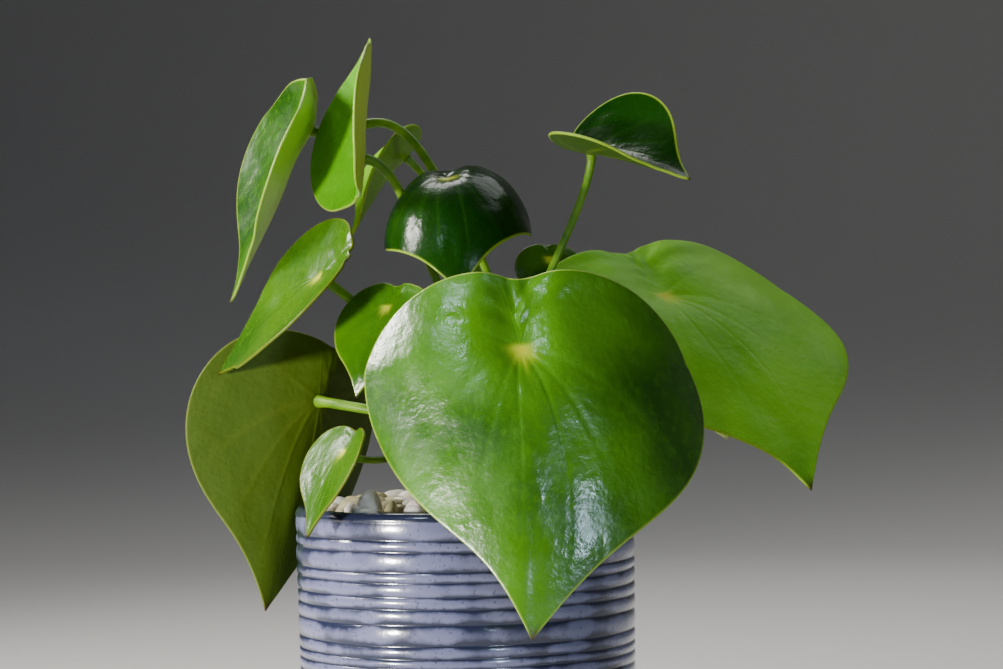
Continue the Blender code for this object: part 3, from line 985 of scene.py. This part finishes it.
@dataclass
class ThrownPot:
    """A round thrown pot with its throwing rings, lip and bare foot."""

    taper: float = 1.6
    foot_rounding: float = 6.0
    inner_corner: tuple[float, float] = (1.5, 8.0)
    lip_radius: float = 2.2
    ring_depth: float = 0.6
    seen_rings: tuple[float, ...] = (1.1, 7.3, 10.3, 15.9, 18.6, 22.5, 25.8, 29.9, 35.6, 39.0, 41.6)
    ring_pitch: float = 3.9
    ring_wander: float = 0.7
    lowest_ring: float = 80.0
    waves: tuple[tuple[float, ...], ...] = ((0.30, 1, 0, 0.05), (0.16, 2, 1.3, 0.11), (0.10, 5, 0, 0.35))
    wobble: float = 0.12
    wall_rows: int = 230
    columns: int = 200

    def wall_radius(self, height: np.ndarray) -> np.ndarray:
        """Outer radius without rings: a slight barrel that rounds in to the foot."""
        belly = POT_RADIUS - self.taper * (1 - height / POT_HEIGHT) ** 2
        return belly - (belly - POT_FOOT_RADIUS) * np.exp(-height / self.foot_rounding)

    def grooves(self) -> np.ndarray:
        """Heights of the grooves, rising: those by the rim, and then evenly on down."""
        depths = list(self.seen_rings)
        while depths[-1] + self.ring_pitch < self.lowest_ring:
            wander = self.ring_wander * math.sin(2.1 * len(depths))
            depths.append(depths[-1] + self.ring_pitch + wander)
        depths.append(self.lowest_ring)
        return POT_HEIGHT - np.array(depths[::-1])

    def ridge_share(self, height: np.ndarray, turn: np.ndarray) -> np.ndarray:
        """How far a point of the wall stands on a ridge: 0 in a groove, 1 on the ridge.

        The height wanders by slow sines of the turn, so the rings are a little uneven, and
        the share is the root of a half sine between the two grooves beside the point.
        """
        moved = height
        for size, count, phase, climb in self.waves:
            moved = moved + size * np.sin(count * turn + phase + climb * height)
        grooves = self.grooves()
        upper = np.clip(np.searchsorted(grooves, moved), 1, len(grooves) - 1)
        low, high = grooves[upper - 1], grooves[upper]
        share = np.clip((moved - low) / (high - low), 0, 1)
        return np.sqrt(np.sin(math.pi * share))

    def build(self) -> None:
        """Turn the profile: inner floor and wall, round lip, ringed outer wall and flat foot."""
        inner = POT_RADIUS - POT_WALL
        step, rise = self.inner_corner
        shoulder = POT_HEIGHT - self.lip_radius
        inside = (
            (2.0, POT_FLOOR),
            (POT_FOOT_RADIUS - POT_WALL, POT_FLOOR),
            (inner - step, POT_FLOOR + rise),
            (inner, POT_HEIGHT / 2),
            (inner, shoulder - 6),
        )
        bends = np.linspace(0, math.pi, 15)
        across = (POT_RADIUS + inner - POT_WALL * np.cos(bends)) / 2
        lip = np.column_stack((across, shoulder + self.lip_radius * np.sin(bends)))
        heights = np.linspace(shoulder, 0.6, self.wall_rows)
        outer = np.column_stack((self.wall_radius(heights), heights))
        foot = ((POT_FOOT_RADIUS - 0.2, 0.1), (POT_FOOT_RADIUS - 1.0, 0.0), (2.0, 0.0))
        profile = np.vstack((inside, lip, outer[1:], foot))
        turn, radius = np.meshgrid(round_turns(self.columns), profile[:, 0])
        height = np.broadcast_to(profile[:, 1:], radius.shape)
        first = len(inside) + len(lip)
        on_wall = np.zeros(radius.shape)
        on_wall[first : first + self.wall_rows - 1] = 1
        ridge = self.ridge_share(height, turn)
        radius = radius - self.ring_depth * (1 - ridge) * smooth_step(height, 5.0, 9.0) * on_wall
        wobble = self.wobble * np.sin(3 * turn + 0.4)
        radius = radius + wobble * on_wall * smooth_step(height, 2.0, 12.0)
        lip_shade = np.where(on_wall > 0, ridge, 0.25)
        bare = (1 - smooth_step(height, 1.6, 3.0)) * (radius > 3)
        bare[: len(inside) - 1] = 1.0
        values = {
            "ridge": np.append(lip_shade[::-1], (0.0, 0.0)),
            "bare": np.append(bare[::-1], (1.0, 1.0)),
        }
        mesh = closed_grid(turned(radius, height, turn)[::-1])
        mount_piece(make_piece("thrown_pot", mesh, GlazeFinish().build(), values), "pot")


@dataclass
class SoilFill:
    """Potting soil, mounded, with the stem's hole in it."""

    side: float = POT_RADIUS - POT_WALL - TOUCH_GAP
    foot: float = POT_FOOT_RADIUS - POT_WALL - TOUCH_GAP
    floor: float = POT_FLOOR + TOUCH_GAP
    top: float = 83.5
    edge_drop: float = 2.0
    hole: float = STEM_RADIUS + TOUCH_GAP
    hole_depth: float = 22.0
    columns: int = 160
    crumbs: tuple[tuple[float, float, int], ...] = ((3.2, 0.35, 5), (1.4, 0.2, 6))

    def surface(self, radius: float | np.ndarray) -> float | np.ndarray:
        """Height of the mound: highest in the middle, less a square of the radius."""
        return self.top - self.edge_drop * (radius / POT_RADIUS) ** 2

    def build(self) -> None:
        """A closed skin: underside, side, crumbly top, and the hole's wall and bottom."""
        radii = np.linspace(self.side, self.hole, 60)
        top = np.column_stack((radii, self.surface(radii)))
        corner = (self.side - 1.5, self.floor + 8)
        below = ((2.0, self.floor), (self.foot, self.floor), corner, (self.side, POT_HEIGHT / 2))
        depth = self.top - self.hole_depth
        hole = ((self.hole, depth + self.hole_depth / 2), (self.hole, depth), (1.0, depth))
        profile = np.vstack((below, top, hole))
        turn, radius = np.meshgrid(round_turns(self.columns), profile[:, 0])
        places = turned(radius, profile[:, 1:], turn)
        rough = sum(ripple(places, length, seed) * size for length, size, seed in self.crumbs) - 0.1
        rough[: len(below)] = 0.0
        rough[-len(hole) :] = 0.0
        places[..., 2] += rough * smooth_step(radius, self.hole, self.hole + 3)
        piece = make_piece("potting_soil", closed_grid(places), SoilFinish().build())
        mount_piece(piece, "soil")


@dataclass
class GravelBed:
    """Pebbles where the solid has them, with grit in between."""

    layer: float = 3.4
    pebble_size: float = 8.4
    spread: tuple[float, float] = (0.85, 1.2)
    width: tuple[float, float] = (0.75, 0.95)
    thickness: float = 0.62
    tilt: float = 0.35
    rise: tuple[float, float] = (0.6, 1.8)
    step: float = 8.2
    shift: float = 1.4
    room: float = 4.8
    seed: int = 11
    grit_count: int = 620
    grit_size: tuple[float, float] = (0.7, 1.5)
    shares: tuple[float, ...] = (0.26, 0.18, 0.26, 0.14, 0.16)
    grit_shares: tuple[float, ...] = (0.12, 0.3, 0.3, 0.06, 0.22)
    upright: tuple[tuple[tuple[float, float], float, float, float, Stone], ...] = (
        ((-25.5, -29.5), 6.6, 11.0, 20.0, Stone.WHITE),
        ((-19.5, -33.5), 6.2, 8.0, 70.0, Stone.OLIVE),
        ((-13.0, -34.5), 6.8, 7.5, 130.0, Stone.PINK),
        ((-31.0, -25.5), 6.0, 7.0, 100.0, Stone.WHITE),
    )
    soil: SoilFill = field(default_factory=SoilFill)

    def places(self) -> list[tuple[float, float]]:
        """Staggered rows of places in a disc with a clear middle, each moved a little."""
        reach = POT_RADIUS - POT_WALL - 0.6 * self.pebble_size
        rows = int(reach / self.step) + 1
        found = []
        for row in range(-rows, rows + 1):
            for column in range(-rows, rows + 1):
                x = (column + 0.5 * (row % 2)) * self.step + random.uniform(-self.shift, self.shift)
                y = row * self.step * math.sqrt(0.75) + random.uniform(-self.shift, self.shift)
                if STEM_RADIUS + self.room < math.hypot(x, y) < reach:
                    found.append((x, y))
        return found

    def stones(
        self, centres: np.ndarray, shapes: np.ndarray, seed: int, rows: int, columns: int
    ) -> np.ndarray:
        """Worn stones about their centres.

        A stone is a sphere whose radius swells and dents by smooth noise of its direction,
        squashed and turned by its own matrix.

        Args:
            centres: One place for each stone.
            shapes: One 3 by 3 matrix for each stone.
            seed: Start of the noise.
            rows: Rings from pole to pole.
            columns: Sides of a ring.

        Returns:
            Array of stones, rows, columns and 3.
        """
        falls = (np.arange(rows) + 0.35) / (rows - 0.3) * math.pi
        fall, turn = np.meshgrid(falls, round_turns(columns), indexing="ij")
        ball = turned(np.sin(fall), np.cos(fall), turn)
        shifted = ball[None] + np.arange(len(centres))[:, None, None, None] * 3.7
        lumps = 1 + 0.13 * ripple(shifted, 2.4, seed) + 0.05 * ripple(shifted, 1.0, seed + 1)
        body = ball[None] * lumps[..., None]
        return np.einsum("sij,srcj->srci", shapes, body) + centres[:, None, None]

    def build(self) -> None:
        """Draw the pebbles as the solid does, add grit, and join them in one piece."""
        random.seed(self.seed)
        spots = self.places()
        centres, shapes = [], []
        for x, y in spots:
            half = self.pebble_size * random.uniform(*self.spread) / 2
            sides = (half, half * random.uniform(*self.width), half * self.thickness)
            turn = Matrix.Rotation(random.uniform(0.0, math.tau), 3, "Z")
            lean = Matrix.Rotation(random.uniform(-self.tilt, self.tilt), 3, "X")
            bed = self.soil.surface(math.hypot(x, y)) + TOUCH_GAP + self.layer
            centres.append((x, y, bed + random.uniform(*self.rise)))
            shapes.append(np.array(turn @ lean @ Matrix.Diagonal(sides)))
        draw = np.random.default_rng(self.seed)
        kinds = list(draw.choice(len(Stone), len(spots), p=self.shares))
        for (x, y), across, tall, spin, kind in self.upright:
            foot = self.soil.surface(math.hypot(x, y)) + 2 * TOUCH_GAP
            sides = (across / 2, across * self.thickness / 2, tall / 2)
            turn = Matrix.Rotation(math.radians(spin), 3, "Z")
            centres.append((x, y, foot + tall / 2))
            shapes.append(np.array(turn @ Matrix.Diagonal(sides)))
            kinds.append(list(Stone).index(kind))
        count = self.grit_count
        reach = (STEM_RADIUS + 2.2, self.soil.side - 1.6)
        radius = np.sqrt(draw.uniform(reach[0] ** 2, reach[1] ** 2, count))
        turn = draw.uniform(0, math.tau, count)
        bed = self.soil.surface(radius) + TOUCH_GAP + draw.uniform(0.4, self.layer, count)
        grit_shapes = draw.uniform(*self.grit_size, (count, 3))[:, :, None] * np.eye(3)
        grit_kinds = draw.choice(len(Stone), count, p=self.grit_shares)
        batches = (
            (self.stones(np.array(centres), np.array(shapes), 21, 13, 20), kinds),
            (self.stones(turned(radius, bed, turn), grit_shapes, 31, 6, 9), grit_kinds),
        )
        parts: list[Mesh] = []
        tones: list[np.ndarray] = []
        for skins, stone_kinds in batches:
            for skin, kind in zip(skins, stone_kinds):
                places, corners = closed_grid(skin)
                parts.append((places, [face[::-1] for face in corners]))
                tones.append(np.full(len(places), (kind + 0.5) / len(Stone)))
        values = {"stone": np.concatenate(tones)}
        piece = make_piece("gravel_pebbles", joined(parts), StoneFinish().build(), values)
        mount_piece(piece, "gravel")


# Studio


@dataclass(frozen=True)
class Lamp:
    """A soft rectangular light that faces the plant, placed by its turn and rise from it."""

    name: str
    bearing: float
    rise: float
    distance: float
    width: float
    tall: float
    power: float
    colour: Colour
    spread: float = 90.0


@dataclass
class Studio:
    """Pale floor that sweeps up all round, soft lights, and the camera."""

    camera_at: Point = (11.5, -791.0, 135.4)
    camera_roll: float = 1.2
    lens: float = 100.0
    sensor: float = 36.0
    floor_radius: float = 900.0
    floor_columns: int = 96
    sweep: float = 1500.0
    sweep_height: float = 2200.0
    floor_colour: Colour = (0.52, 0.51, 0.50)
    sky_strength: float = 0.08
    aim: Point = (0.0, 0.0, 120.0)
    lamps: tuple[Lamp, ...] = (
        Lamp("left", 179.0, 30.0, 900.0, 220.0, 260.0, 4.6, (1.0, 0.97, 0.90)),
        Lamp("window", -139.0, -4.0, 800.0, 90.0, 80.0, 3.0, (1.0, 0.98, 0.93)),
        Lamp("sky", -124.0, 39.0, 1000.0, 120.0, 90.0, 0.35, (0.66, 0.82, 1.0)),
        Lamp("right", -67.0, 9.0, 1000.0, 80.0, 240.0, 0.7, (0.62, 0.80, 1.0)),
        Lamp("back", 108.0, 58.0, 1300.0, 500.0, 500.0, 4.0, (1.0, 0.99, 0.95), 120.0),
        Lamp("above", 50.0, 52.0, 1300.0, 800.0, 700.0, 2.4, (0.97, 0.99, 1.0), 140.0),
    )

    def make_sweep(self) -> None:
        """A round floor whose rim turns up in a quarter circle to a low wall."""
        bends = np.radians(np.linspace(0, 90, 40))
        rim = self.floor_radius + self.sweep
        radius = np.concatenate(((200.0,), self.floor_radius + self.sweep * np.sin(bends), (rim,)))
        height = np.concatenate(((0.0,), self.sweep * (1 - np.cos(bends)), (self.sweep_height,)))
        columns = self.floor_columns
        places = turned(radius[:, None], height[:, None], round_turns(columns))
        vertices = np.vstack((places.reshape(-1, 3), (0.0, 0.0, 0.0)))
        around = np.arange(columns)
        middle = np.full(columns, len(vertices) - 1)
        faces = [face[::-1] for face in grid_faces(len(radius), columns).tolist()]
        faces += np.column_stack((around, (around + 1) % columns, middle)).tolist()
        sheet = NodeSheet("Studio floor")
        sheet.fix({"Base Color": (*self.floor_colour, 1.0), "Roughness": 0.85})
        make_piece("studio_floor", (vertices, faces), sheet.material)

    def make_lamps(self) -> None:
        """Area lights round the plant, each turned to face it."""
        for lamp in self.lamps:
            data = bpy.data.lights.new(lamp.name, "AREA")
            data.shape = "RECTANGLE"
            data.size = lamp.width * MM
            data.size_y = lamp.tall * MM
            data.energy = lamp.power
            data.spread = math.radians(lamp.spread)
            data.color = lamp.colour
            made = bpy.data.objects.new(lamp.name, data)
            bpy.context.scene.collection.objects.link(made)
            out = way_to(lamp.bearing, lamp.rise) * lamp.distance
            made.location = (np.array(self.aim) + out) * MM
            turn, rise = math.radians(lamp.bearing), math.radians(lamp.rise)
            made.rotation_euler = (math.pi / 2 - rise, 0.0, turn + math.pi / 2)

    def make_world(self) -> None:
        """An even pale sky."""
        world = bpy.data.worlds.new("Studio sky")
        world.use_nodes = True
        sky = world.node_tree.nodes["Background"]
        sky.inputs["Color"].default_value = (0.93, 0.95, 1.0, 1.0)
        sky.inputs["Strength"].default_value = self.sky_strength
        bpy.context.scene.world = world

    def make_camera(self) -> None:
        """A level camera in front of the plant, rolled a little."""
        data = bpy.data.cameras.new("Camera")
        data.sensor_width = self.sensor
        data.lens = self.lens
        data.clip_start = 0.01
        data.clip_end = 20.0
        made = bpy.data.objects.new("Camera", data)
        bpy.context.scene.collection.objects.link(made)
        made.location = tuple(number * MM for number in self.camera_at)
        made.rotation_euler = (math.pi / 2, math.radians(self.camera_roll), 0.0)
        bpy.context.scene.camera = made

    def build(self) -> None:
        """Set up floor, lights, sky and camera."""
        self.make_sweep()
        self.make_lamps()
        self.make_world()
        self.make_camera()


def main() -> None:
    """Build the pot, its filling, the plant and the studio."""
    logging.basicConfig(level=logging.INFO, format="%(name)s %(message)s")
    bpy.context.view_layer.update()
    ThrownPot().build()
    SoilFill().build()
    GravelBed().build()
    Foliage().build()
    Studio().build()


if __name__ == "__main__":
    main()
